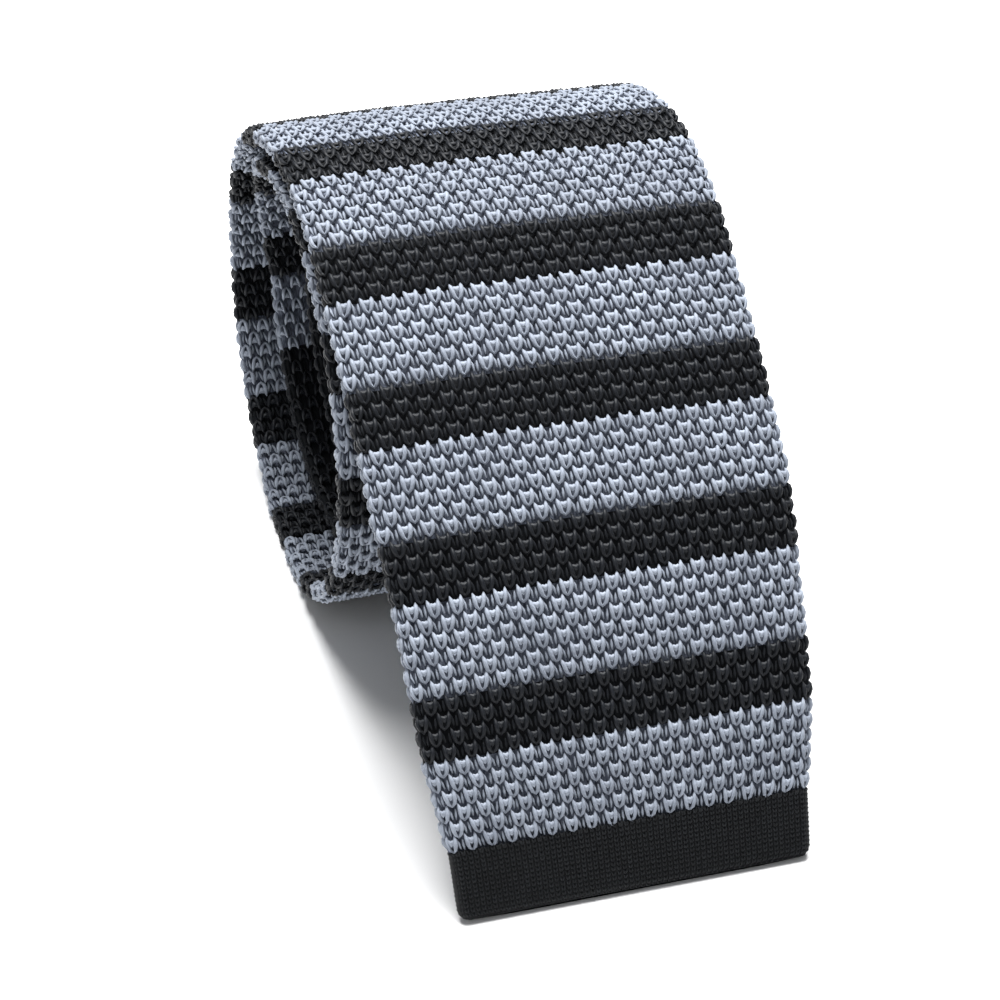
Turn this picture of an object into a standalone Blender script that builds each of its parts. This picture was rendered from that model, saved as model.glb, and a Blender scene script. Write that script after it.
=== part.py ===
"""A rolled square-end knit necktie, modelled piece by piece.

The tie is one long flat tube of knit, wound into a roll, with the wide blade's free end lying
over the front of the roll and standing on its tip. Everything follows one line, the outer
surface seen from the side: distance along it is measured from the wide end's tip.
+X runs across the tie, -Y is the side the free end falls on, +Z is up, the origin is on the
ground under the middle of the box. All sizes are in metres and all angles in degrees.
"""

import math

import bmesh
import bpy
import numpy as np

# ---- The tie laid flat ------------------------------------------------------------------
BLADE_WIDTH = 0.058        # the wide blade where it is widest
TIP_WIDTH = 0.0504         # the wide blade at its end band, which draws it in
STEM_WIDTH = 0.0515        # the wide blade once it has drawn in
NECK_WIDTH = 0.040         # the part that goes round the collar
TAIL_WIDTH = 0.045         # the narrow blade at its end
BLADE_THICK = 0.0027       # both layers of the wide tube together
NECK_THICK = 0.0018        # both layers of the neck and tail tube together
BAND_THICK = 0.0022        # the plain end bands, knitted finer than the blades
BAND_LENGTH = 0.0090       # tip to first striped row

FULL_FROM = 0.055          # past the drawn-in tip the blade has its full width
TAPER_START = 0.360        # the wide blade keeps its width up to here
TAPER_END = 0.400          # from here it narrows slowly to the neck
BLADE_END = 0.650          # where the wide blade is joined to the neck
NECK_END = 0.970           # where the neck is joined to the tail
TIE_LENGTH = 1.330         # tip to tip

# ---- Sewn pieces ------------------------------------------------------------------------
SEAM_WIDTH, SEAM_THICK = 0.0016, 0.0003
JOIN_LENGTH = 0.0012       # the linked course between two lengths of tube
LOOP_START, LOOP_LENGTH, LOOP_THICK, LOOP_SIDE = 0.185, 0.012, 0.0005, 0.010
LABEL_START, LABEL_LENGTH, LABEL_WIDTH, LABEL_THICK = 0.205, 0.024, 0.030, 0.0003
TACK_WIDTH, TACK_THICK = 0.0011, 0.0004
END_TACK_WIDTH, END_TACK_LENGTH = 0.006, 0.0012

SEWN_GAP = 0.0002          # a flat piece sewn on another
WRAP_GAP = 0.0004          # a sewn piece and the next turn of the roll
END_GAP = 0.0003           # two pieces that meet end to end
EDGE_ROUND = 0.0007        # rounding of the folded edges

# ---- The roll ---------------------------------------------------------------------------
ROLL_RADIUS = 0.0390       # outer surface where the free end leaves
LEAVE_ANGLE = 52.5         # height of that line round the roll, above the level front
OVAL_SHARE = 0.060         # how far the roll is from round
OVAL_ANGLE = 33.0          # direction of its long axis
REST_FLAT = 0.0008         # how much the roll's weight flattens it underneath
WANDER = 0.0028            # how far right of the outermost turn the inner turns lie
STEP_LENGTH = 0.0065       # length of one facet on the widest turn
TIGHT_STEPS = 22           # least number of facets in one turn

# One turn takes a tube, the seam on its back, the keeper loop over that and the gaps between.
BLADE_PITCH = BLADE_THICK + SEAM_THICK + LOOP_THICK + 3 * SEWN_GAP + WRAP_GAP
NECK_PITCH = NECK_THICK + SEAM_THICK + SEWN_GAP + WRAP_GAP
FREE_LENGTH = 2.318 * ROLL_RADIUS  # tip to where the blade leaves the roll: it reaches the ground

KNIT = ("striped_knit", (0.26, 0.29, 0.33), 0.75)
PLAIN = ("plain_knit", (0.017, 0.018, 0.02), 0.8)
THREAD = ("sewing_thread", (0.02, 0.021, 0.024), 0.6)
RIBBON = ("label_ribbon", (0.05, 0.052, 0.058), 0.5)


def clear_scene():
    for item in list(bpy.data.objects):
        bpy.data.objects.remove(item, do_unlink=True)


def roll_line():
    """Distance, y and z along the outer surface from the leaving line to the inner end.

    The turn that the blade's end lies on keeps the blade's pitch, to clear its thickness.
    """
    turns, per_turn = 14, 720
    angle = math.radians(LEAVE_ANGLE) + np.arange(turns * per_turn) * math.tau / per_turn
    oval = 1 + OVAL_SHARE * np.cos(2 * (angle - math.radians(OVAL_ANGLE)))
    radius, distance = ROLL_RADIUS, FREE_LENGTH
    along, y, z = [], [], []
    for direction, stretch in zip(angle, oval):
        if radius <= NECK_PITCH:
            break
        new_y = -radius * stretch * math.cos(direction)
        new_z = radius * stretch * math.sin(direction)
        distance += math.hypot(new_y - y[-1], new_z - z[-1]) if y else 0
        along.append(distance)
        y.append(new_y)
        z.append(new_z)
        past_blade = distance > BLADE_END + math.tau * radius
        radius -= (NECK_PITCH if past_blade else BLADE_PITCH) / per_turn
    return np.array(along), np.array(y), np.array(z)


def free_line(leave, heading, droop):
    """The free end as an arc that leaves the roll at `heading` and steepens by `droop`."""
    distance = np.linspace(0, FREE_LENGTH, 181)
    bend = droop / FREE_LENGTH
    turned = heading + bend * (FREE_LENGTH - distance)
    y = leave[0] - (np.sin(turned) - math.sin(heading)) / bend
    z = leave[1] + (np.cos(turned) - math.cos(heading)) / bend
    return distance, y, z


def tie_line():
    """The whole outer line, with the free end drooping just far enough to stand on its tip."""
    along, y, z = roll_line()
    first_turn = along < FREE_LENGTH + math.tau * ROLL_RADIUS
    floor = z[first_turn].min() + REST_FLAT
    z = np.where(first_turn, np.maximum(z, floor), z)
    heading = math.atan2(z[1] - z[0], y[1] - y[0])
    low, high = math.radians(1), math.radians(80)
    for _ in range(50):
        droop = (low + high) / 2
        distance, free_y, free_z = free_line((y[0], z[0]), heading, droop)
        lowest = free_z[0] - (BAND_THICK - EDGE_ROUND) * math.cos(heading + droop)
        low, high = (droop, high) if lowest > floor else (low, droop)
    free_part = (distance[:-1], free_y[:-1], free_z[:-1])
    return tuple(np.concatenate(pair) for pair in zip(free_part, (along, y, z)))


def with_flat_ends(marks, along, line_z):
    """The facet edges, with one at each end of the flat that the roll rests on."""
    flat = along[line_z <= line_z[along >= FREE_LENGTH].min() + 1e-9]
    ends = np.array([flat.min(), flat.max()])
    clear = np.abs(marks[:, None] - ends).min(1) > STEP_LENGTH / 4
    return np.sort(np.concatenate([marks[clear], ends]))


def facets():
    """The line as flat facets shared by every piece, shorter where the turns are tighter.

    Gives the distance, the point and the mitred inward direction at each facet's edge, so that
    pieces laid on each other keep an even gap. Lengths are joined in the middle of a facet, so
    that their ends stay parallel.
    """
    along, line_y, line_z = tie_line()
    marks = [0.0]
    tail_band = TIE_LENGTH - BAND_LENGTH
    start = 0.0
    for end in (BAND_LENGTH, FREE_LENGTH, BLADE_END, NECK_END, tail_band, TIE_LENGTH):
        steps = [0.0]
        while start + sum(steps) < end:
            here = start + sum(steps)
            radius = math.hypot(np.interp(here, along, line_y), np.interp(here, along, line_z))
            steps.append(min(STEP_LENGTH, math.tau * radius / TIGHT_STEPS))
        edges = np.cumsum(steps) * (end - start) / sum(steps)
        marks.extend(start + (edges[1:] + edges[:-1]) / 2)
        start = end
    marks.append(TIE_LENGTH)
    marks = with_flat_ends(np.array(marks), along, line_z)
    y, z = np.interp(marks, along, line_y), np.interp(marks, along, line_z)
    run, rise = np.diff(y), np.diff(z)
    size = np.hypot(run, rise)
    in_y, in_z = rise / size, -run / size
    before_y, after_y = np.append(in_y[0], in_y), np.append(in_y, in_y[-1])
    before_z, after_z = np.append(in_z[0], in_z), np.append(in_z, in_z[-1])
    together = 1 + before_y * after_y + before_z * after_z
    mitre = (before_y + after_y) / together, (before_z + after_z) / together
    return marks, (y, z), mitre


MARKS, CORNERS, INWARD = facets()


def place(distance, depth=0.0):
    """The y and z of a distance from the tip, `depth` under the outer surface."""
    return (float(np.interp(distance, MARKS, line + depth * inward))
            for line, inward in zip(CORNERS, INWARD))


def width_at(distance):
    """Full width of the tie at a distance from the wide end's tip."""
    marks = (0, FULL_FROM, TAPER_START, TAPER_END, BLADE_END, NECK_END, TIE_LENGTH)
    widths = (TIP_WIDTH, BLADE_WIDTH, BLADE_WIDTH, STEM_WIDTH, NECK_WIDTH, NECK_WIDTH, TAIL_WIDTH)
    return float(np.interp(distance, marks, widths))


def wander_at(distance):
    """How far right the middle of the tie lies: nothing until the blade draws in."""
    return float(np.interp(distance, (TAPER_START, TAPER_END), (0, WANDER)))


def stations(start, end):
    """The ends of a piece with the facet edges between them."""
    clear = SEWN_GAP
    between = MARKS[(MARKS > start + clear) & (MARKS < end - clear)]
    return np.concatenate(([start], between, [end]))


def material(slot):
    name, colour, roughness = slot
    found = bpy.data.materials.get(name)
    if found:
        return found
    made = bpy.data.materials.new(name)
    made.use_nodes = True
    shader = made.node_tree.nodes["Principled BSDF"]
    shader.inputs["Base Color"].default_value = (*colour, 1)
    shader.inputs["Roughness"].default_value = roughness
    shader.inputs["Metallic"].default_value = 0
    return made


def strip(name, slot, start, end, thick, depth=0.0, sides=None, rounded=EDGE_ROUND):
    """A flat piece that follows the tie's line: an open surface given its thickness inwards.

    sides(distance) gives its left and right edges in x, or None for the tie's own width.
    """
    marks = stations(start, end)
    last = len(marks) - 1
    shape = bmesh.new()
    bmesh.ops.create_grid(shape, x_segments=1, y_segments=last, size=1)
    for corner in shape.verts:
        distance = marks[round((corner.co.y + 1) / 2 * last)]
        half = width_at(distance) / 2
        left, right = sides(distance) if sides else (-half, half)
        y, z = place(distance, depth)
        corner.co = ((right if corner.co.x > 0 else left) + wander_at(distance), y, z)
    mesh = bpy.data.meshes.new(name)
    shape.to_mesh(mesh)
    shape.free()
    mesh.materials.append(material(slot))
    item = bpy.data.objects.new(name, mesh)
    PARTS.objects.link(item)
    item.parent = FRAME
    shell = item.modifiers.new("thickness", "SOLIDIFY")
    shell.thickness = thick
    shell.offset = -1
    shell.use_even_offset = True
    if rounded:
        edges = item.modifiers.new("folded edges", "BEVEL")
        edges.width = rounded
        edges.segments = 1
        edges.limit_method = "ANGLE"
        edges.angle_limit = math.radians(60)
    return item


def across(left, right):
    """Straight sides at two fixed places across the tie."""
    return lambda distance: (left, right)


def bands_and_tubes():
    """The knitted lengths: two end bands, the wide blade in two, the neck and the tail."""
    half_gap = END_GAP / 2
    strip("wide_end_band", PLAIN, 0, BAND_LENGTH - half_gap, BAND_THICK)
    strip("wide_blade_free", KNIT, BAND_LENGTH + half_gap, FREE_LENGTH - half_gap, BLADE_THICK)
    join = JOIN_LENGTH / 2
    strip("wide_blade_rolled", KNIT, FREE_LENGTH + half_gap, BLADE_END - join, BLADE_THICK)
    strip("neck_section", KNIT, BLADE_END + join, NECK_END - join, NECK_THICK)
    tail_band = TIE_LENGTH - BAND_LENGTH
    strip("tail_blade", KNIT, NECK_END + join, tail_band - half_gap, NECK_THICK)
    strip("tail_end_band", PLAIN, tail_band + half_gap, TIE_LENGTH, NECK_THICK)


def joins():
    """The linked courses that join the three lengths of tube end to end."""
    reach = JOIN_LENGTH / 2 - END_GAP
    for name, middle in (("wide_to_neck_join", BLADE_END), ("neck_to_tail_join", NECK_END)):
        strip(name, THREAD, middle - reach, middle + reach, NECK_THICK, rounded=0)


def back_seams():
    """The seam down the middle of the back, which closes the folded strip into a tube."""
    line = across(-SEAM_WIDTH / 2, SEAM_WIDTH / 2)
    wide, slim = BLADE_THICK + SEWN_GAP, NECK_THICK + SEWN_GAP
    join = JOIN_LENGTH / 2
    tail_band = TIE_LENGTH - BAND_LENGTH
    lengths = (
        ("back_seam_free", BAND_LENGTH + END_GAP, FREE_LENGTH - END_GAP, wide),
        ("back_seam_rolled", FREE_LENGTH + END_GAP, BLADE_END - join, wide),
        ("back_seam_neck", BLADE_END + join, NECK_END - join, slim),
        ("back_seam_tail", NECK_END + join, tail_band - END_GAP, slim),
    )
    for name, start, end, depth in lengths:
        strip(name, THREAD, start, end, SEAM_THICK, depth, line, rounded=0)


def sewn_on():
    """The keeper loop and the blank label on the wide blade's back, each held by two tacks."""
    on_back = BLADE_THICK + SEWN_GAP
    over_seam = on_back + SEAM_THICK + SEWN_GAP
    loop_half = BLADE_WIDTH / 2 - LOOP_SIDE
    pieces = (
        ("keeper_loop", KNIT, LOOP_START, LOOP_LENGTH, LOOP_THICK, loop_half),
        ("care_label", RIBBON, LABEL_START, LABEL_LENGTH, LABEL_THICK, LABEL_WIDTH / 2),
    )
    for name, slot, start, length, thick, half in pieces:
        strip(name, slot, start, start + length, thick, over_seam, across(-half, half), rounded=0)
        for side, sign in (("left", -1), ("right", 1)):
            near, far = half + END_GAP, half + END_GAP + TACK_WIDTH
            edges = across(*sorted((sign * near, sign * far)))
            tack = name.split("_")[0] + "_tack_" + side
            strip(tack, THREAD, start, start + length, TACK_THICK, on_back, edges, rounded=0)


def end_tacks():
    """A bar tack on the back of each end band, where the seam's end is fastened off."""
    sides = across(-END_TACK_WIDTH / 2, END_TACK_WIDTH / 2)
    middle = BAND_LENGTH / 2
    places = (("wide_end_tack", middle, BAND_THICK), ("tail_end_tack", TIE_LENGTH - middle, NECK_THICK))
    for name, centre, thick in places:
        start, end = centre - END_TACK_LENGTH / 2, centre + END_TACK_LENGTH / 2
        strip(name, THREAD, start, end, TACK_THICK, thick + SEWN_GAP, sides, rounded=0)


def stand_on_origin():
    """Moves the frame so that the origin is on the ground under the middle of the tie."""
    bpy.context.view_layer.update()
    seen = bpy.context.evaluated_depsgraph_get()
    low, high = np.full(3, np.inf), np.full(3, -np.inf)
    for item in PARTS.objects:
        if item.type == "MESH":
            mesh = item.evaluated_get(seen).to_mesh()
            spots = np.array([item.matrix_world @ corner.co for corner in mesh.vertices])
            low, high = np.minimum(low, spots.min(0)), np.maximum(high, spots.max(0))
    middle = (low + high) / 2
    FRAME.location = (-middle[0], -middle[1], -low[2])
    bpy.context.view_layer.update()


clear_scene()
PARTS = bpy.data.collections.new("necktie")
bpy.context.scene.collection.children.link(PARTS)
FRAME = bpy.data.objects.new("tie_frame", None)
PARTS.objects.link(FRAME)
bands_and_tubes()
joins()
back_seams()
sewn_on()
end_tacks()
stand_on_origin()
leave_y, leave_z = place(FREE_LENGTH)
print("frame shift", tuple(round(value, 6) for value in FRAME.location))
print("leaving line", round(leave_y + FRAME.location.y, 6), round(leave_z + FRAME.location.z, 6))
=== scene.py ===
# %% [markdown]
# # A rolled knit necktie
# A square-ended knit tie is one long flat tube of knitting, wound into a roll and set down with its
# wide end falling over the front. The whole look is in the knit: fat loops standing in offset rows,
# with deep dark gaps between them. A bump texture on a smooth band would lose the lumpy edges and
# the depth, so every stitch that can be seen is real yarn, made once and laid along the tie.

# %% Load the frame
import math

import bmesh
import bpy
import numpy as np
from mathutils import Matrix, Vector


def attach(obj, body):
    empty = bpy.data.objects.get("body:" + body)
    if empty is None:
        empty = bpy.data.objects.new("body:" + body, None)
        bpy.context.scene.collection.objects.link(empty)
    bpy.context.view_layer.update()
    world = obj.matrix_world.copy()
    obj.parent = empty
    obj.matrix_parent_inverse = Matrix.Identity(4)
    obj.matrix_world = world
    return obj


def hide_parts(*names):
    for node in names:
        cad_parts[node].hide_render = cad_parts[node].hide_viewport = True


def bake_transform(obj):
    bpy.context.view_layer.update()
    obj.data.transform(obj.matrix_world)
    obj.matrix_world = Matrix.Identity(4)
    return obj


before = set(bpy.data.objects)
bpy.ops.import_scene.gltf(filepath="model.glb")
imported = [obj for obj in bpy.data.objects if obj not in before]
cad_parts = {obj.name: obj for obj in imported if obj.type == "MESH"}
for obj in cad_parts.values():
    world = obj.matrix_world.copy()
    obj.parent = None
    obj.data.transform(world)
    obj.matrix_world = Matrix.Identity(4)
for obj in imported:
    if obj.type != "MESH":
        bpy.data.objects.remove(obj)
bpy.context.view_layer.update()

MM = 0.001

# %% [markdown]
# ## The line that the tie follows
# Seen from the side, a wound tie is a spiral with one loose end. The part's source draws that line
# by formula: a slightly oval spiral that loses one thickness a turn, a small flat where it rests, and
# an arc for the free end. The same formula is used here, sampled finely, so that the knit lies exactly
# where the solid is. A curve object could carry the line too, but plain arrays let thousands of
# stitches be placed in one step.

# %% Sizes of the tie
LENGTH = 1.330             # tip to tip
FREE = 0.0904              # tip to the line where the blade leaves the roll
BLADE_END, NECK_END = 0.650, 0.970
BAND = 0.0090              # the plain hem at each end
WRAP = 0.330               # where the outermost turn has gone once round
FULL_FROM, TAPER_START, TAPER_END = 0.055, 0.360, 0.400
WANDER = 0.0028
ROLL_RADIUS, LEAVE_ANGLE = 0.0390, 52.5
OVAL_SHARE, OVAL_ANGLE = 0.060, 33.0
BLADE_PITCH, NECK_PITCH = 0.0045, 0.0027
REST_FLAT = 0.0008
TIP_REACH = 0.0015         # from the line to the lowest corner of the tip
BLADE_THICK, NECK_THICK, BAND_THICK = 0.0027, 0.0018, 0.0022
ROLL_CENTRE = np.array([0.022663, 0.034936])


# %% The spiral and the free end
def spiral():
    """Distance, y and z round the roll, from the leaving line inwards."""
    per_turn = 720
    turn = np.arange(14 * per_turn) * math.tau / per_turn
    angle = math.radians(LEAVE_ANGLE) + turn
    oval = 1 + OVAL_SHARE * np.cos(2 * (angle - math.radians(OVAL_ANGLE)))
    radius, distance, rows = ROLL_RADIUS, FREE, []
    for direction, stretch in zip(angle, oval):
        if radius <= NECK_PITCH:
            break
        y = -radius * stretch * math.cos(direction)
        z = radius * stretch * math.sin(direction)
        distance += math.hypot(y - rows[-1][1], z - rows[-1][2]) if rows else 0
        rows.append((distance, y, z))
        past_blade = distance > BLADE_END + math.tau * radius
        radius -= (NECK_PITCH if past_blade else BLADE_PITCH) / per_turn
    return np.array(rows).T


def free_arc(leave, heading, droop):
    """The free end as an arc that steepens by `droop` on its way to the tip."""
    distance = np.linspace(0, FREE, 181)
    bend = droop / FREE
    turned = heading + bend * (FREE - distance)
    y = leave[0] - (np.sin(turned) - math.sin(heading)) / bend
    z = leave[1] + (np.cos(turned) - math.cos(heading)) / bend
    return distance, y, z


def whole_line():
    """The spiral and the free end together, with the tip standing on the ground."""
    along, y, z = spiral()
    first = along < FREE + math.tau * ROLL_RADIUS
    floor = z[first].min() + REST_FLAT
    z = np.where(first, np.maximum(z, floor), z)
    heading = math.atan2(z[1] - z[0], y[1] - y[0])
    low, high = math.radians(1), math.radians(80)
    for halving in range(50):
        droop = (low + high) / 2
        distance, free_y, free_z = free_arc((y[0], z[0]), heading, droop)
        lowest = free_z[0] - TIP_REACH * math.cos(heading + droop)
        low, high = (droop, high) if lowest > floor else (low, droop)
    return [np.concatenate(pair) for pair in
            zip((distance[:-1], free_y[:-1], free_z[:-1]), (along, y, z))]


# %% Even samples with a smooth inward direction
STEP = 0.0005
RAW_S, RAW_Y, RAW_Z = whole_line()
LINE_S = np.arange(0, LENGTH + 0.004, STEP)
LINE_Y = np.interp(LINE_S, RAW_S, RAW_Y) + ROLL_CENTRE[0]
LINE_Z = np.interp(LINE_S, RAW_S, RAW_Z) + ROLL_CENTRE[1]


def smoothed(values, reach):
    """A running average, with the end values carried on past either end."""
    padded = np.pad(values, reach, mode="edge")
    return np.convolve(padded, np.ones(2 * reach + 1) / (2 * reach + 1), mode="valid")


SMOOTH_REACH = 4           # samples to either side
ACROSS_Y, ACROSS_Z = np.gradient(LINE_Z), -np.gradient(LINE_Y)
ACROSS_SIZE = np.hypot(ACROSS_Y, ACROSS_Z)
IN_Y = smoothed(ACROSS_Y / ACROSS_SIZE, SMOOTH_REACH)
IN_Z = smoothed(ACROSS_Z / ACROSS_SIZE, SMOOTH_REACH)
print("roll", round(float(LINE_Z.max()) * 1000, 1), "mm high, tip at", round(float(LINE_Z[0]) * 1000, 1))

# %% [markdown]
# ## A flat tube instead of a strip
# The tie is knitted as a tube or a folded strip, so its edges are folds, round and as lumpy as the
# knit. A place on it has three numbers: how far round the tube, how far along the tie and how far out
# from the surface. One function turns them into a point, and everything on the tie uses it: the
# ground, the stitches, the hems and the seam. Bending a finished flat mesh with a Curve modifier
# would do the same for one strip, but not for the folds' own rounding.

# %% Width, thickness and wandering of the tube
TIP_CORNER, TIP_CLOSE = 0.0017, 0.0010


def rounded_in(along, radius):
    """How far a quarter round of this radius has opened: 0 at either tip, 1 past it."""
    share = np.clip(np.minimum(along, LENGTH - along) / radius, 0.02, 1)
    return np.sqrt(1 - (1 - share) ** 2)


def width_at(along):
    """Full width, with the wide blade drawing in inside the roll and round corners at the tips."""
    marks = (0, BAND, 0.022, FULL_FROM, TAPER_START, TAPER_END, BLADE_END, NECK_END, LENGTH)
    widths = (0.0499, 0.0508, 0.0548, 0.0584, 0.0584, 0.0515, 0.040, 0.040, 0.045)
    return np.interp(along, marks, widths) - 2 * TIP_CORNER * (1 - rounded_in(along, TIP_CORNER))


def full_thick_at(along):
    """Both layers together: the hems, the neck and the tail are thinner than the blade."""
    marks = (0, BAND, BAND + 0.0015, BLADE_END - 0.02, BLADE_END + 0.02, LENGTH)
    thick = (BAND_THICK, BAND_THICK, BLADE_THICK, BLADE_THICK, NECK_THICK, NECK_THICK)
    return np.interp(along, marks, thick)


def thick_at(along):
    """The thickness, closing in a half round at the tips."""
    return full_thick_at(along) * rounded_in(along, TIP_CLOSE)


def wander_at(along):
    """How far right of the middle the tie lies: a hand-wound roll is never quite true."""
    marks = (0, 0.010, 0.025, 0.050, 0.080, 0.140, 0.175, 0.210, 0.250, TAPER_START, TAPER_END)
    right = (-0.0005, -0.0003, 0, 0.0005, 0.0002, 0, 0.0011, 0.0009, 0, 0, WANDER)
    return np.interp(along, marks, right)


def girth_at(along):
    """All the way round the flat tube."""
    thick = thick_at(along)
    return 2 * (width_at(along) - thick) + math.pi * thick


# %% Rows, columns and stripes of the knit
ROW, COLUMNS = 0.00212, 38
GREY_ROWS, STRIPE_ROWS = 6, 10
LAST_GREY_ROW = 186        # past here the tie is plain black
STRETCH = 0.0090           # how much the knit is stretched over the top of the roll
STRETCH_FROM, STRETCH_OVER = 0.100, 0.085
HEM_PULL, PULL_ROWS = 0.0005, 4    # the first rows lie further from the hem, by less with each row
ROW_NUMBERS = np.arange(-6.0, 640.0, 0.5)
EVEN_PLACES = BAND + ROW_NUMBERS * ROW + HEM_PULL * np.exp(-ROW_NUMBERS / PULL_ROWS)
STRETCHED = np.clip((EVEN_PLACES - STRETCH_FROM) / STRETCH_OVER, 0, 1)
ROW_PLACES = EVEN_PLACES + STRETCH * STRETCHED ** 2 * (3 - 2 * STRETCHED)


def rows_at(along):
    """How many rows lie between the hem and a place along the tie."""
    return np.interp(along, ROW_PLACES, ROW_NUMBERS)


def row_places(row):
    """Where the middle of a row lies."""
    return np.interp(row + 0.5, ROW_NUMBERS, ROW_PLACES)


def fold_at(around, along):
    """1 at the middle of either fold, 0 on the flat front and back."""
    thick, girth = thick_at(along), girth_at(along)
    run = np.abs((np.asarray(around) + 0.5) % 1 - 0.5) * girth
    return np.sin(np.clip((run - (width_at(along) - thick) / 2) / (thick / 2), 0, math.pi))


print("rows on the free end", round(float(rows_at(FREE)), 1), "and on the whole tie",
      round(float(rows_at(LENGTH - BAND))))

# %% A place on the tube
SAG_RIGHT = 0.016          # share of its height by which the roll is lower at its right edge
SAG_LEFT_MOST = -0.3       # to the left it rises by no more than this share of that
HALF_WIDTH = 0.029
PRESSED = 0.00022          # stitches under the roll are pressed on the ground within this height


def on_tube(around, along, out):
    """Points on the tube, for arrays of places.

    `around` is in turns of the tube, 0 mid front and 0.5 mid back. `along` and `out` are in metres.
    """
    along = np.asarray(along, float)
    thick, girth = thick_at(along), girth_at(along)
    bend, half = thick / 2, (width_at(along) - thick) / 2
    turn = (np.asarray(around, float) + 0.5) % 1 - 0.5
    side, run = np.sign(turn), np.abs(turn) * girth
    angle = np.clip((run - half) / bend, 0, math.pi)
    beyond = np.maximum(run - half - math.pi * bend, 0)
    x = np.minimum(run, half) - beyond + (bend + out) * np.sin(angle)
    depth = full_thick_at(along) / 2 - (bend + out) * np.cos(angle)
    y = np.interp(along, LINE_S, LINE_Y) + depth * np.interp(along, LINE_S, IN_Y)
    z = np.interp(along, LINE_S, LINE_Z) + depth * np.interp(along, LINE_S, IN_Z)
    x = side * x + wander_at(along)
    sagged = z * (1 - SAG_RIGHT * np.clip(x / HALF_WIDTH, SAG_LEFT_MOST, 1))
    return np.stack([x, y, PRESSED * np.logaddexp(0, sagged / PRESSED)], axis=-1)


print("girth of the wide blade", round(float(girth_at(0.1)) * 1000, 1), "mm")

# %% [markdown]
# ## Node wiring that reads like sums
# Every finish below is a few lines of arithmetic on noise and stored values. Wiring Math nodes by hand
# hides that, so one small class lets a socket be added, subtracted, multiplied and divided like a
# number.

# %% A socket that can be reckoned with
class Value:
    """The output of a node, with the operators made as Math nodes."""

    def __init__(self, tree, socket):
        self.tree, self.socket = tree, socket

    def node(self, kind, inputs, output=0, **settings):
        """Adds any node, sets or links its inputs by name or number, and gives one output."""
        made = self.tree.nodes.new(kind)
        for name, setting in settings.items():
            setattr(made, name, setting)
        for name, source in inputs.items():
            if isinstance(source, Value):
                self.tree.links.new(source.socket, made.inputs[name])
            else:
                made.inputs[name].default_value = source
        return Value(self.tree, made.outputs[output])

    def math(self, operation, *others):
        return self.node("ShaderNodeMath", dict(enumerate((self, *others))), operation=operation)

    def __add__(self, other):
        return self.math("ADD", other)

    def __sub__(self, other):
        return self.math("SUBTRACT", other)

    def __mul__(self, other):
        return self.math("MULTIPLY", other)

    def __truediv__(self, other):
        return self.math("DIVIDE", other)

    def between(self, low, high):
        """0 below low, 1 above high, smooth between."""
        ramp = {"Value": self, "From Min": low, "From Max": high}
        return self.node("ShaderNodeMapRange", ramp, interpolation_type="SMOOTHSTEP")

    def blend(self, first, second):
        """The first colour at 0, the second at 1."""
        inputs = {"Factor": self, 6: first, 7: second}
        return self.node("ShaderNodeMix", inputs, output=2, data_type="RGBA")


# %% Starting a finish
def rgb(red, green, blue):
    """A colour given in screen values of 0 to 255, made linear."""
    linear = [((level / 255 + 0.055) / 1.055) ** 2.4 if level > 10 else level / 255 / 12.92
              for level in (red, green, blue)]
    return (*linear, 1.0)


def finish(name, **constants):
    """A new material, its shader, and a starting Value for its wiring."""
    made = bpy.data.materials.new(name)
    made.use_nodes = True
    tree = made.node_tree
    shader = tree.nodes["Principled BSDF"]
    for socket, setting in constants.items():
        shader.inputs[socket.replace("_", " ")].default_value = setting
    return made, shader, Value(tree, None)


def wire(source, shader, socket):
    source.tree.links.new(source.socket, shader.inputs[socket])


# %% [markdown]
# ## Yarn
# The yarn is a smooth filament polyester with a soft sheen: bright where it faces the light, with fine
# streaks that run along it. The streaks follow the yarn, so the pattern is drawn on a map whose first
# number goes round the yarn and whose second goes along it. Each stitch also carries one number of its
# own, so that no two take the dye quite alike. Within each stitch that number rises towards the top:
# painted light, drawing the crown lighter and the chin darker as if lit from above.

# %% The two yarn colours
def yarn_finish(name, dark, light, sheen):
    """Filament yarn: streaks along it, a slow change of colour, and a stored tone: each stitch's own, plus
    painted light on its crown.
    """
    made, shader, start = finish(name, Specular_IOR_Level=0.3, Sheen_Weight=sheen, Sheen_Roughness=0.45)
    yarn = start.node("ShaderNodeUVMap", {}, uv_map="yarn")
    # the stored tone: each stitch's own, plus painted light that draws its crown lighter and its chin
    # darker
    tone = start.node("ShaderNodeAttribute", {}, output=2, attribute_name="tone")
    stretch = start.node("ShaderNodeMapping", {"Vector": yarn, "Scale": (9.0, 0.7, 1.0)})
    streak = start.node("ShaderNodeTexNoise", {"Vector": stretch, "Scale": 2.2, "Detail": 3.0})
    place = start.node("ShaderNodeTexCoord", {}, output=3)
    slow = start.node("ShaderNodeTexNoise", {"Vector": place, "Scale": 90.0, "Detail": 2.0})
    shade = (streak - 0.5) * 1.5 + (slow - 0.5) * 0.5 + tone
    wire(shade.between(0.0, 1.0).blend(dark, light), shader, "Base Color")
    wire(streak * 0.22 + 0.42, shader, "Roughness")
    relief = start.node("ShaderNodeBump", {"Height": streak, "Strength": 0.5, "Distance": 0.0001})
    wire(relief, shader, "Normal")
    return made


GREY_YARN = yarn_finish("grey_yarn", rgb(110, 116, 128), rgb(160, 168, 181), 0.08)
BLACK_YARN = yarn_finish("black_yarn", rgb(8, 11, 16), rgb(20, 24, 31), 0.02)
print("yarns", GREY_YARN.name, BLACK_YARN.name)

# %% [markdown]
# ## One stitch
# In this openwork tuck knit each stitch stands out as a small head: a fat loop whose two ends rise like
# ears and dive under the row above, a bridge of held yarn across its upper half, and on each side a
# thin recessed strand. Modelled as a displaced dot the heads would have no dark eye and no notch, so
# the strands are swept one by one: a ring of edges is extruded from point to point.

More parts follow.
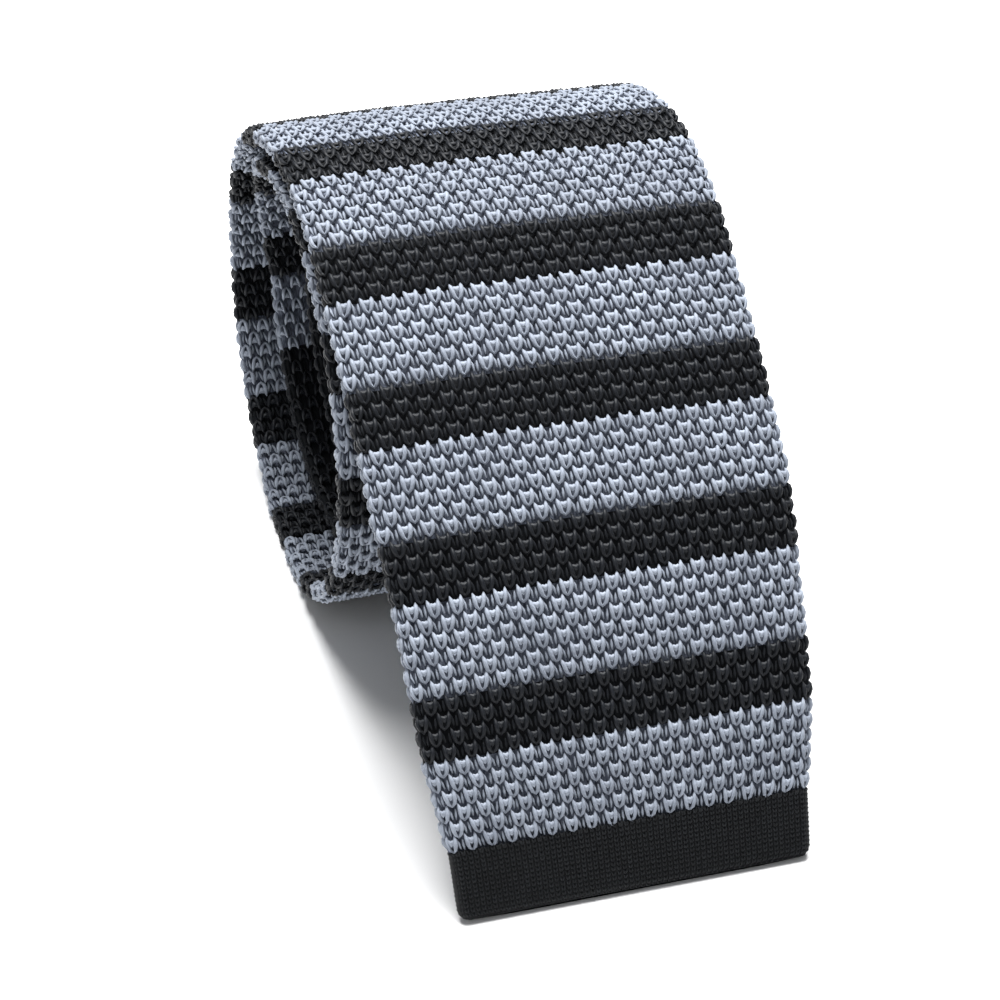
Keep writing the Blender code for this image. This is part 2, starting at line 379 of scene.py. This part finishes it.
# %% Sweeping a strand
def pushed_on(shape, ring):
    """Extrudes a closed ring of corners, and gives the new ring in the same order."""
    edges = dict.fromkeys(edge for corner in ring for edge in corner.link_edges
                          if edge.other_vert(corner) in ring)
    pushed = bmesh.ops.extrude_edge_only(shape, edges=list(edges))["geom"]
    fresh = [item for item in pushed if isinstance(item, bmesh.types.BMVert)]
    return [next(new for new in fresh if any(edge.other_vert(new) is old for edge in new.link_edges))
            for old in ring]


def strand(shape, points, sides):
    """Sweeps a ring through points given as (across, up, out, radius) in millimetres.

    The radius may be a pair, for a strand wider across its path than it is thick.
    """
    spots = [Vector(point[:3]) for point in points]
    map_layer = shape.loops.layers.uv["yarn"]
    ring = list(bmesh.ops.create_circle(shape, segments=sides, radius=1)["verts"])
    unit = [corner.co.copy() for corner in ring]
    rings, run, travelled = [], 0.0, [0.0]
    for number, spot in enumerate(spots):
        before, after = spots[max(number - 1, 0)], spots[min(number + 1, len(spots) - 1)]
        heading = (after - before).normalized()
        flat = Vector((0, 0, 1)) - heading * heading.z
        lift = flat.normalized() if flat.length > 0.05 else Vector((0, 1, 0))
        side = heading.cross(lift)
        radius = points[number][3]
        wide, deep = radius if isinstance(radius, tuple) else (radius, radius)
        if number:
            run += (spot - spots[number - 1]).length
            travelled.append(run)
            ring = pushed_on(shape, ring)
        for corner, place in zip(ring, unit):
            corner.co = spot + side * (place.x * wide) + lift * (place.y * deep)
        rings.append(ring)
    for number in range(1, len(rings)):
        order = {corner: (index, travelled[level]) for level in (number - 1, number)
                 for index, corner in enumerate(rings[level])}
        for face in {face for corner in rings[number] for face in corner.link_faces}:
            if all(corner in order for corner in face.verts):
                closing = {order[corner][0] for corner in face.verts} == {0, sides - 1}
                for loop in face.loops:
                    index, distance = order[loop.vert]
                    loop[map_layer].uv = ((sides if closing and index == 0 else index) / sides, distance)


# %% The stitch and its plainer inside form
def mirrored(points):
    """The same strand on the other side."""
    return [(-point[0], *point[1:]) for point in points]


def head_loop():
    """The fat loop, ear to chin to ear."""
    right = [(0.80, 1.56, -0.34, 0.07), (0.70, 1.04, -0.10, 0.30), (0.62, 0.34, 0.0, 0.34),
             (0.45, -0.34, -0.14, 0.28)]
    return right + [(0.0, -0.80, -0.36, 0.20)] + mirrored(right)[::-1]


def stitch(full=True):
    """One stitch as a bmesh: its loop and bridge, and the side strands on a full one."""
    shape = bmesh.new()
    shape.loops.layers.uv.new("yarn")
    sides = 5 if full else 4
    strand(shape, head_loop(), sides)
    strand(shape, [(-0.45, 0.82, -0.16, (0.32, 0.24)), (0.0, 0.50, -0.01, (0.48, 0.30)),
                   (0.45, 0.82, -0.16, (0.32, 0.24))], sides)
    if full:
        strand(shape, [(0.98, 1.05, -0.50, 0.11), (1.18, 0.35, -0.24, 0.20),
                       (1.38, -0.50, -0.52, 0.11)], 4)
        strand(shape, [(-1.16, 0.80, -0.52, 0.11), (-1.22, 0.10, -0.24, 0.21),
                       (-1.14, -0.66, -0.52, 0.11)], 4)
    bmesh.ops.recalc_face_normals(shape, faces=shape.faces)
    return shape


# %% [markdown]
# ## Laying stitches
# A bmesh is slow at a million faces, and an instancer would be lost where the tie bends at its hinge.
# The stitch is therefore read once into arrays, repeated with a little seeded unevenness, and put on
# the tube by the same function as everything else. Each length becomes one mesh for each colour.

# %% Reading a shape into arrays
def as_arrays(shape):
    """Corners, faces and yarn map of a bmesh whose faces all have four sides."""
    shape.verts.index_update()
    layer = shape.loops.layers.uv["yarn"]
    corners = np.array([corner.co for corner in shape.verts])
    faces = np.array([[corner.index for corner in face.verts] for face in shape.faces])
    yarn = np.array([[loop[layer].uv for loop in face.loops] for face in shape.faces])
    shape.free()
    return corners, faces, yarn


STITCH, PLAIN_STITCH = as_arrays(stitch()), as_arrays(stitch(full=False))
print("a stitch has", len(STITCH[1]), "faces, inside the roll", len(PLAIN_STITCH[1]))


# %% One mesh from many stitches
# painted light: each stitch is drawn lighter towards its crown and darker towards its chin
PAINTED_CROWN_LIGHT = 0.10         # how much lighter a stitch gets for each millimetre up from its middle
TONE_SHIFT = 37.0          # moves the streaks along the yarn, so that each stitch shows its own


def lay(name, pattern, around, along, wide, tall, tone, material, out=0.0, lean=0.0):
    """Repeats a pattern at every (around, along) place. wide and tall scale it to the local spacing."""
    corners, faces, yarn = pattern
    count, size = len(around), len(corners)
    slanted = corners[None, :, 1] * np.broadcast_to(lean, (count,))[:, None]
    across = corners[None, :, 0] * wide[:, None] + slanted
    up = corners[None, :, 1] * tall[:, None]
    turn = around[:, None] + across * MM / girth_at(along)[:, None]
    distance = along[:, None] + up * MM
    height = corners[None, :, 2] * MM + np.broadcast_to(np.asarray(out), (count,))[:, None]
    points = on_tube(turn, distance, height).reshape(-1, 3)
    quads = (faces[None] + (np.arange(count) * size)[:, None, None]).reshape(-1)
    mesh = bpy.data.meshes.new(name)
    mesh.vertices.add(len(points))
    mesh.vertices.foreach_set("co", points.reshape(-1))
    mesh.loops.add(len(quads))
    mesh.loops.foreach_set("vertex_index", quads)
    mesh.polygons.add(len(quads) // 4)
    mesh.polygons.foreach_set("loop_start", np.arange(0, len(quads), 4))
    mesh.polygons.foreach_set("loop_total", np.full(len(quads) // 4, 4))
    mesh.update(calc_edges=True)
    map_layer = mesh.uv_layers.new(name="yarn")
    offset = np.stack([np.zeros(count), tone * TONE_SHIFT], axis=-1)
    map_layer.data.foreach_set("uv", (yarn[None] + offset[:, None, None, :]).reshape(-1))
    # each corner stores the stitch's own tone plus the painted crown light
    tone_and_painted_light = mesh.attributes.new("tone", "FLOAT", "POINT")
    tone_and_painted_light.data.foreach_set("value", (tone[:, None] + PAINTED_CROWN_LIGHT * corners[None, :, 1]).reshape(-1))
    mesh.shade_smooth()
    mesh.materials.append(material)
    made = bpy.data.objects.new(name, mesh)
    bpy.context.scene.collection.objects.link(made)
    print(name, count, "stitches,", len(quads) // 4, "faces")
    return made


# %% Where the stitches go
CHANCE = np.random.default_rng(7)
DRAWN_PITCH = 3.05         # the stitch is drawn for columns this many millimetres apart
ALONG_SPREAD, TURN_SPREAD = 0.00004, 0.00028
SIZE_SPREAD, TONE_SPREAD = 0.025, 0.06
OUT_SPREAD, LEAN_SPREAD = 0.00005, 0.05
ROW_WAVE = 0.00010         # no row is quite straight


def stitch_places(start, end, wanted):
    """Rows from start to end, every other one shifted by half a stitch.

    `wanted` picks columns by their distance round the tube from mid front, in turns.
    """
    rows = np.arange(round(float(rows_at(start))), round(float(rows_at(end))))
    row, column = (grid.ravel() for grid in np.meshgrid(rows, np.arange(COLUMNS), indexing="ij"))
    turn = (column + 0.5 * (row % 2)) / COLUMNS - 0.5
    keep = wanted(np.abs(turn))
    return row[keep], turn[keep], row_places(row[keep])


def knitted(name, start, end, wanted, full=True):
    """A length of striped knit as two objects, grey and black."""
    row, turn, along = stitch_places(start, end, wanted)
    count = len(row)
    along = along + CHANCE.normal(0, ALONG_SPREAD, count) + ROW_WAVE * np.sin(turn * 31 + row * 0.7)
    turn = turn + CHANCE.normal(0, TURN_SPREAD, count)
    wide = girth_at(along) / COLUMNS / MM / DRAWN_PITCH * CHANCE.normal(1, SIZE_SPREAD, count)
    tall = CHANCE.normal(1.0, SIZE_SPREAD, count)
    tone = np.clip(0.5 + CHANCE.normal(0, TONE_SPREAD, count), 0.2, 0.8)
    out = CHANCE.normal(0, OUT_SPREAD, count)
    lean = CHANCE.normal(0, LEAN_SPREAD, count)
    grey = ((row % STRIPE_ROWS) < GREY_ROWS) & (row < LAST_GREY_ROW)
    pattern = STITCH if full else PLAIN_STITCH
    pieces = []
    for colour, chosen, material in (("grey", grey, GREY_YARN), ("black", ~grey, BLACK_YARN)):
        if not chosen.any():
            continue
        pieces.append(lay(f"{name}_{colour}", pattern, turn[chosen], along[chosen], wide[chosen],
                          tall[chosen], tone[chosen], material, out[chosen], lean[chosen]))
    return pieces


# %% [markdown]
# ## The ground of the knit
# Behind the heads lies the rest of the fabric, ribbed by the strands that run from stitch to stitch.
# Its colours are drawn darker than the yarn of the heads: painted shade for the deep gaps between them.
# It is a real tube, open at its ends, with a wall, so that the gaps between heads show cloth and not
# the inside of the roll. A ring of edges shaped like the tube's section is extruded along the tie and
# Solidify gives it its wall.

# %% Ground finish
def ground_finish(name, grey_dark, grey_light, black_dark, black_light):
    """Stripes by distance along the tie, with the fine ribs of the hidden strands, darker than the heads'
    yarn as painted shade.
    """
    made, shader, start = finish(name, Specular_IOR_Level=0.2)
    tube = start.node("ShaderNodeUVMap", {}, uv_map="tube")
    parts = tube.node("ShaderNodeSeparateXYZ", {"Vector": tube})
    rows = Value(parts.tree, parts.socket.node.outputs[1])
    stripe = (rows / STRIPE_ROWS).math("FRACT")
    past_last = rows.math("GREATER_THAN", LAST_GREY_ROW)
    black = stripe.math("GREATER_THAN", GREY_ROWS / STRIPE_ROWS).math("MAXIMUM", past_last)
    scaled = start.node("ShaderNodeMapping", {"Vector": tube, "Scale": (2.2, 1.2, 1.0)})
    ribs = start.node("ShaderNodeTexNoise", {"Vector": scaled, "Scale": 1.6, "Detail": 3.0})
    shade = ribs.between(0.3, 0.7)
    colour = black.blend(shade.blend(grey_dark, grey_light), shade.blend(black_dark, black_light))
    wire(colour, shader, "Base Color")
    wire(ribs * 0.3 + 0.6, shader, "Roughness")
    relief = start.node("ShaderNodeBump", {"Height": ribs, "Strength": 0.6, "Distance": 0.0002})
    wire(relief, shader, "Normal")
    return made


def cloth_finish(name, dark, light, across, along):
    """A fine grain by the piece's own map, for the loop, the label and the ground of the hems."""
    made, shader, start = finish(name, Specular_IOR_Level=0.3)
    tube_map = start.node("ShaderNodeUVMap", {}, uv_map="tube")
    scaled = start.node("ShaderNodeMapping", {"Vector": tube_map, "Scale": (across, along, 1.0)})
    grain = start.node("ShaderNodeTexNoise", {"Vector": scaled, "Scale": 3.0, "Detail": 2.0})
    wire(grain.between(0.3, 0.7).blend(dark, light), shader, "Base Color")
    wire(grain * 0.3 + 0.5, shader, "Roughness")
    relief = start.node("ShaderNodeBump", {"Height": grain, "Strength": 0.4, "Distance": 0.0001})
    wire(relief, shader, "Normal")
    return made


# the ground's colours, darker than the yarn's, are painted shade for the gaps between the heads
GROUND = ground_finish("knit_ground_painted_shade", rgb(50, 55, 66), rgb(108, 114, 128), rgb(7, 9, 12), rgb(16, 19, 24))


# %% From a bmesh to an object
def as_object(name, shape, material):
    """Puts a bmesh in the scene as one smooth object with one material."""
    mesh = bpy.data.meshes.new(name)
    shape.to_mesh(mesh)
    shape.free()
    mesh.shade_smooth()
    mesh.materials.append(material)
    made = bpy.data.objects.new(name, mesh)
    bpy.context.scene.collection.objects.link(made)
    return made


def give_wall(piece, modifier_name, thickness, offset):
    """Thickens an open surface, inwards at offset -1 and to both sides at 0."""
    wall = piece.modifiers.new(modifier_name, "SOLIDIFY")
    wall.thickness = thickness
    wall.offset = offset


# %% A tube along the tie
WRAPS_OVER = 30            # a face whose corners lie further apart round the tube, in mm, closes it
FOLD_FILL = 0.80           # the ground is fuller in the folds, where the stitches fan apart


def ring_around(mark):
    """Turns round the tube for one ring: close together in the folds, wide apart on the flats."""
    thick, girth = float(thick_at(mark)), float(girth_at(mark))
    flat = (float(width_at(mark)) - thick) / 2
    side = np.concatenate([np.linspace(0.25, 0.75, 3) * flat,
                           np.linspace(0, math.pi, 9) * thick / 2 + flat,
                           girth / 2 - np.linspace(0.75, 0.25, 3) * flat])
    return np.concatenate([-side[::-1], [0], side, [girth / 2]]) / girth


def tube(name, start, end, sink, wall, material, close=(), steps=0.0022):
    """Extrudes the tube's section from start to end, `sink` under the surface, with a wall.

    An end whose place is in `close` is filled.
    """
    shape = bmesh.new()
    map_layer = shape.loops.layers.uv.new("tube")
    marks = np.linspace(start, end, max(3, round((end - start) / steps)))
    ring = list(bmesh.ops.create_circle(shape, segments=len(ring_around(start)), radius=1)["verts"])
    spot = {}
    for number, mark in enumerate(marks):
        if number:
            ring = pushed_on(shape, ring)
        around = ring_around(mark)
        out = -sink * (1 - FOLD_FILL * fold_at(around, mark))
        places = on_tube(around, np.full(len(around), mark), out)
        for corner, place, turn in zip(ring, places, around):
            corner.co = place
            spot[corner] = (turn * float(girth_at(mark)) / MM, float(rows_at(mark)))
    girth = float(girth_at(start)) / MM
    for face in shape.faces:
        places = [spot[corner][0] for corner in face.verts]
        wraps = max(places) - min(places) > WRAPS_OVER
        for loop in face.loops:
            across, row = spot[loop.vert]
            loop[map_layer].uv = (across + girth if wraps and across < 0 else across, row)
    for mark in close:
        row = float(rows_at(mark))
        rim = [edge for edge in shape.edges
               if edge.is_boundary and abs(spot[edge.verts[0]][1] - row) < 1e-6]
        bmesh.ops.edgeloop_fill(shape, edges=rim)
    bmesh.ops.recalc_face_normals(shape, faces=shape.faces)
    made = as_object(name, shape, material)
    give_wall(made, "wall", wall, -1)
    print(name, "ground,", len(made.data.polygons), "faces")
    return made


# %% The four lengths of ground
SINK, THIN_SINK, WALL = 0.00090, 0.00045, 0.0003
HINGE_PAST = FREE + 0.010
GROUNDS = {}
for name, start, end in (("free_ground", BAND, HINGE_PAST), ("rolled_ground", HINGE_PAST, BLADE_END),
                         ("neck_ground", BLADE_END, NECK_END), ("tail_ground", NECK_END, LENGTH - BAND)):
    sink = SINK if end <= BLADE_END else THIN_SINK
    GROUNDS[name] = tube(name, start, end, sink, WALL, GROUND)

# %% [markdown]
# ## The striped knit
# Only the stitches that can be seen are made: all of them on the free end, the front, both folds and
# a margin of the back on the outermost turn, and the two folds with a margin on the turns inside.

# %% Which columns each length needs
HALF_TURN = 0.210          # the outermost turn is made in two lengths, to keep each piece small
HIDDEN_FROM = WRAP + 0.012


def every_column(turn):
    return turn <= 0.5


def front_and_edges(turn):
    return turn < 0.36


def edges_only(turn):
    return (turn > 0.18) & (turn < 0.335)


FREE_KNIT = knitted("free_knit", BAND, HINGE_PAST, every_column)
TURN_A = knitted("first_half_turn", HINGE_PAST, HALF_TURN, front_and_edges)
TURN_B = knitted("second_half_turn", HALF_TURN, HIDDEN_FROM, front_and_edges)
INNER_BLADE = knitted("inner_blade", HIDDEN_FROM, BLADE_END, edges_only, full=False)
INNER_NECK = knitted("inner_neck", BLADE_END, NECK_END, edges_only, full=False)
INNER_TAIL = knitted("inner_tail", NECK_END, LENGTH - BAND, edges_only, full=False)

# %% [markdown]
# ## The plain hems
# Each end is finished with a few courses of fine plain knitting, black and much closer than the blade.
# It reads as faint ribs. Small V stitches are laid on a tube of their own, closed at the tip, with the
# same functions as the blade, so that the rounded corners and the tip come out of the tube itself.

# %% Hem stitches
def v_stitch():
    """One plain stitch: two legs of a V."""
    shape = bmesh.new()
    shape.loops.layers.uv.new("yarn")
    leg = [(0.05, -0.38, -0.30, 0.10), (0.17, 0.0, -0.02, 0.14), (0.28, 0.36, -0.30, 0.10)]
    strand(shape, leg, 4)
    strand(shape, mirrored(leg), 4)
    bmesh.ops.recalc_face_normals(shape, faces=shape.faces)
    return shape


V_STITCH = as_arrays(v_stitch())
HEM_YARN = yarn_finish("hem_yarn", rgb(13, 15, 18), rgb(28, 31, 35), 0.02)
HEM_GROUND = cloth_finish("hem_ground", rgb(6, 7, 9), rgb(12, 13, 16), 1.2, 1.2)
HEM_SINK = 0.00030
LEGS_IN = 0.0001           # the V stitches stand this much lower in the folds


def hem(name, start, end):
    """A tube that is closed at its tip, and its V stitches."""
    rib, course = 0.00080, 0.00065
    columns = round(float(girth_at((start + end) / 2)) / rib)
    rows = np.arange(start + course / 2, end, course)
    along, column = (grid.ravel() for grid in np.meshgrid(rows, np.arange(columns), indexing="ij"))
    turn = (column + 0.5) / columns - 0.5
    count = len(turn)
    wide = girth_at(along) / columns / rib
    tone = np.clip(0.5 + CHANCE.normal(0, 0.1, count), 0.2, 0.8)
    along = along + CHANCE.normal(0, 0.00002, count)
    low = -LEGS_IN * fold_at(turn, along)
    stitches = lay(name + "_stitches", V_STITCH, turn, along, wide, np.ones(count), tone, HEM_YARN, low)
    tip = start if start < BAND else end
    ground = tube(name + "_ground", start, end, HEM_SINK, WALL, HEM_GROUND, close=(tip,), steps=0.0004)
    return ground, stitches


UNDER_KNIT = 0.0006        # how far the hem runs on under the first row
WIDE_HEM = hem("wide_hem", 0.0, BAND + UNDER_KNIT)
TAIL_HEM = hem("tail_hem", LENGTH - BAND - UNDER_KNIT, LENGTH)

# %% [markdown]
# ## Seam, tacks, loop and label
# The back is closed by a slanting overcast seam, and the small pieces of haberdashery are sewn on it.
# Only the seam on the free end shows, from underneath, but the rest is made too, as thread or cloth of
# its own, because the ends of the roll let one look inside.

# %% Thread, seam and tacks
THREAD = yarn_finish("thread", rgb(10, 11, 13), rgb(24, 26, 30), 0.02)
BACK = 0.5                 # turns round the tube to the middle of its back
THREAD_RADIUS, THREAD_DIP = 0.13, -0.45    # millimetres, like the points of every strand
SEAM_PITCH, SEAM_OUT = 0.0015, 0.00018
TACK_PITCH = 0.00024


def short_thread(reach_x, reach_y):
    """A stitch of thread that dips at both ends."""
    shape = bmesh.new()
    shape.loops.layers.uv.new("yarn")
    half = [(reach_x / 2, reach_y / 2, 0.0, THREAD_RADIUS), (reach_x, reach_y, THREAD_DIP, THREAD_RADIUS)]
    other = [(-across, -up, out, radius) for across, up, out, radius in reversed(half)]
    strand(shape, other + half, 5)
    bmesh.ops.recalc_face_normals(shape, faces=shape.faces)
    return as_arrays(shape)


def sewn(name, pattern, turn, along, out):
    """Threads at every place, each a little uneven."""
    count = len(turn)
    tone = np.clip(0.5 + CHANCE.normal(0, 0.12, count), 0.2, 0.8)
    scale = CHANCE.normal(1, 0.05, count)
    return lay(name, pattern, turn, along, scale, scale, tone, THREAD, out)


def seam(name, start, end):
    """Slanting threads down the middle of the back."""
    along = np.arange(start + 0.001, end - 0.0005, SEAM_PITCH)
    return sewn(name, short_thread(0.8, 0.45), np.full(len(along), BACK), along, SEAM_OUT)


def tack(name, middle, across, wide, tall, out):
    """Close parallel threads, `wide` across the tie, each `tall` long."""
    spread = np.arange(-wide / 2, wide / 2 + 1e-6, TACK_PITCH)
    along = np.full(len(spread), middle)
    turn = BACK + (across + spread) / girth_at(middle)
    return sewn(name, short_thread(0.04, tall / 2 / MM), turn, along, out)


SEAMS = {node: seam(node + "_thread", start, end) for node, start, end in (
    ("back_seam_free", BAND, FREE), ("back_seam_rolled", FREE, BLADE_END),
    ("back_seam_neck", BLADE_END, NECK_END), ("back_seam_tail", NECK_END, LENGTH - BAND))}
LOOP_FROM, LOOP_LONG, LOOP_HALF = 0.185, 0.012, 0.019
LABEL_FROM, LABEL_LONG, LABEL_HALF = 0.205, 0.024, 0.015
OVER_SEAM = 0.0007
END_TACK_WIDE, SIDE_TACK_WIDE, JOIN_WIDE = 0.006, 0.0011, 0.036
CROSS_TALL = 0.0012
END_TACK_OUT, SIDE_TACK_OUT = 0.0003, 0.0004
BESIDE = 0.00085           # from the edge of the loop or label to the middle of its tack

TACKS = {}
for node, middle in (("wide_end_tack", BAND / 2), ("tail_end_tack", LENGTH - BAND / 2)):
    TACKS[node] = tack(node + "_thread", middle, 0, END_TACK_WIDE, CROSS_TALL, END_TACK_OUT)
for word, first, long, half in (("keeper", LOOP_FROM, LOOP_LONG, LOOP_HALF),
                                ("care", LABEL_FROM, LABEL_LONG, LABEL_HALF)):
    for side, sign in (("left", -1), ("right", 1)):
        node = f"{word}_tack_{side}"
        TACKS[node] = tack(node + "_thread", first + long / 2, -sign * (half + BESIDE),
                           SIDE_TACK_WIDE, long, SIDE_TACK_OUT)
JOINS = {f"{word}_join": tack(f"{word}_thread", middle, 0, JOIN_WIDE, CROSS_TALL, 0.0)
         for word, middle in (("wide_to_neck", BLADE_END), ("neck_to_tail", NECK_END))}


# %% Loop and label
def back_strip(name, start, long, half, out, wall, material):
    """A strip of cloth on the back of the tie."""
    shape = bmesh.new()
    map_layer = shape.loops.layers.uv.new("tube")
    bmesh.ops.create_grid(shape, x_segments=16, y_segments=8, size=1)
    flat = {corner: ((corner.co.x * half) / MM, (corner.co.y + 1) / 2 * long / MM)
            for corner in shape.verts}
    for corner, (across, up) in flat.items():
        along = start + up * MM
        corner.co = on_tube(BACK + across * MM / girth_at(along), along, out)
    for face in shape.faces:
        for loop in face.loops:
            loop[map_layer].uv = flat[loop.vert]
    bmesh.ops.recalc_face_normals(shape, faces=shape.faces)
    made = as_object(name, shape, material)
    give_wall(made, "cloth", wall, 0)
    print(name, round(2 * half / MM), "by", round(long / MM), "mm")
    return made


LOOP_CLOTH = cloth_finish("loop_knit", rgb(14, 16, 19), rgb(28, 31, 35), 0.4, 3.0)
LABEL_CLOTH = cloth_finish("label_satin", rgb(20, 22, 26), rgb(34, 37, 42), 6.0, 0.5)
LOOP_WALL, LABEL_WALL = 0.0005, 0.0003
LOOP = back_strip("loop_strip", LOOP_FROM, LOOP_LONG, LOOP_HALF, OVER_SEAM + LOOP_WALL / 2, LOOP_WALL,
                  LOOP_CLOTH)
LABEL = back_strip("label_strip", LABEL_FROM, LABEL_LONG, LABEL_HALF, OVER_SEAM + LABEL_WALL / 2,
                   LABEL_WALL, LABEL_CLOTH)

# %% [markdown]
# ## Riding on the bodies
# The free end lifts on a hinge where it leaves the roll. Its pieces cross that line, so they stay
# where they are made and ride on neither body, and everything further round rides on the roll.


def bends(piece, *nodes):
    """A piece that crosses the hinge, and the nodes it stands for."""
    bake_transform(piece)
    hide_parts(*nodes)
    return piece


def rides(piece, *nodes, body="roll"):
    """A piece that moves with one body, and the nodes it stands for."""
    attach(piece, body)
    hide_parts(*nodes)
    return piece


for piece in (GROUNDS["free_ground"], *FREE_KNIT):
    bends(piece, "wide_blade_free")
for piece in (GROUNDS["rolled_ground"], *TURN_A, *TURN_B, *INNER_BLADE):
    rides(piece, "wide_blade_rolled")
for piece in (GROUNDS["neck_ground"], *INNER_NECK):
    rides(piece, "neck_section")
for piece in (GROUNDS["tail_ground"], *INNER_TAIL):
    rides(piece, "tail_blade")
for piece in WIDE_HEM:
    rides(piece, "wide_end_band", body="free_end")
for piece in TAIL_HEM:
    rides(piece, "tail_end_band")
for node, piece in (*SEAMS.items(), *TACKS.items(), *JOINS.items()):
    if node == "back_seam_free":
        bends(piece, node)
    else:
        rides(piece, node, body="free_end" if node == "wide_end_tack" else "roll")
rides(LOOP, "keeper_loop")
rides(LABEL, "care_label")

# %% [markdown]
# ## What was flat before it was wound
# Each length of the tie is one piece of cloth. Opened at its seam it is a strip, twice the tube's mean
# width by the length. The size of that strip is printed for each ground tube. The sizes could be typed
# in, but then they would drift from the tube's own.

# %% Sheets
def mean_width(start, end):
    """Mean width of the tube between two places along the tie."""
    return float(width_at(np.linspace(start, end, 50)).mean())


for name, start, end, held, under, on_it in (
        ("free_ground", BAND, HINGE_PAST, "draped", "floor", FREE_KNIT + list(WIDE_HEM)),
        ("rolled_ground", HINGE_PAST, BLADE_END, "folded", "floor", TURN_A + TURN_B + INNER_BLADE),
        ("neck_ground", BLADE_END, NECK_END, "folded", "rolled_ground", INNER_NECK),
        ("tail_ground", NECK_END, LENGTH - BAND, "folded", "neck_ground", INNER_TAIL + list(TAIL_HEM))):
    2 * mean_width(start, end)
    end - start
    print(name, "flat", round(2 * mean_width(start, end) / MM, 1), "by", round((end - start) / MM, 1), "mm")

# %% [markdown]
# ## Floor and light
# The tie stands on a wide pale floor, with only a soft shadow. One large soft light, high and a little
# behind the roll, brings out the crown of each stitch and lets the free end fall off into shade. A weak
# one in front keeps the black yarn readable. A studio picture round the scene would light it too, but it
# would need a file of its own.

# %% Floor
floor_shape = bmesh.new()
bmesh.ops.create_grid(floor_shape, x_segments=1, y_segments=1, size=3.0)
floor_finish, floor_shader = finish("pale_floor", Roughness=0.9)[:2]
floor_shader.inputs["Base Color"].default_value = (0.92, 0.92, 0.92, 1)
floor = as_object("floor", floor_shape, floor_finish)

# %% Light
world = bpy.data.worlds.new("studio")
bpy.context.scene.world = world
world.use_nodes = True
sky = world.node_tree.nodes["Background"]
sky.inputs["Color"].default_value = (0.93, 0.96, 1.0, 1)
sky.inputs["Strength"].default_value = 0.22
TIE_MIDDLE = Vector((0, 0, 0.03))


def softbox(name, place, size, watts):
    """A square area light that points at the tie."""
    lamp = bpy.data.lights.new(name, "AREA")
    lamp.size, lamp.energy = size, watts
    made = bpy.data.objects.new(name, lamp)
    made.location = place
    made.rotation_euler = (TIE_MIDDLE - Vector(place)).to_track_quat("-Z", "Y").to_euler()
    bpy.context.scene.collection.objects.link(made)
    print(name, watts, "W,", size, "m across")


softbox("overhead", (0.05, 0.32, 1.1), 0.7, 35)
softbox("front_fill", (-0.5, -0.9, 0.8), 0.8, 2.0)

bpy.context.scene.view_settings.view_transform = "Standard"

# %% [markdown]
# ## The camera
# It looks down on the roll from a little to the left of the front, about half a metre away, through a
# long lens, and is turned a little about its own axis. Its place is given by a distance, two angles and
# two small shifts from the middle of the roll, which can be changed one at a time.

# %% The camera
DISTANCE, RISE, LEFT, ROLLED = 0.520, math.radians(35.89), math.radians(16.70), math.radians(0.745)
OFF_RIGHT, OFF_UP = 0.00403, -0.02281
back = Vector((-math.sin(LEFT) * math.cos(RISE), -math.cos(LEFT) * math.cos(RISE), math.sin(RISE)))
level = Vector((math.cos(LEFT), -math.sin(LEFT), 0))
upright = back.cross(level)
right = level * math.cos(ROLLED) + upright * math.sin(ROLLED)
up = upright * math.cos(ROLLED) - level * math.sin(ROLLED)
place = Vector((0, *ROLL_CENTRE)) + right * OFF_RIGHT + up * OFF_UP + back * DISTANCE
turned = Matrix((right, up, back)).transposed().to_4x4()
lens = bpy.data.cameras.new("camera")
lens.lens, lens.sensor_width = 126.9, 36
camera = bpy.data.objects.new("camera", lens)
camera.matrix_world = Matrix.Translation(place) @ turned
bpy.context.scene.collection.objects.link(camera)
bpy.context.scene.camera = camera
print("camera at", [round(value, 3) for value in place])
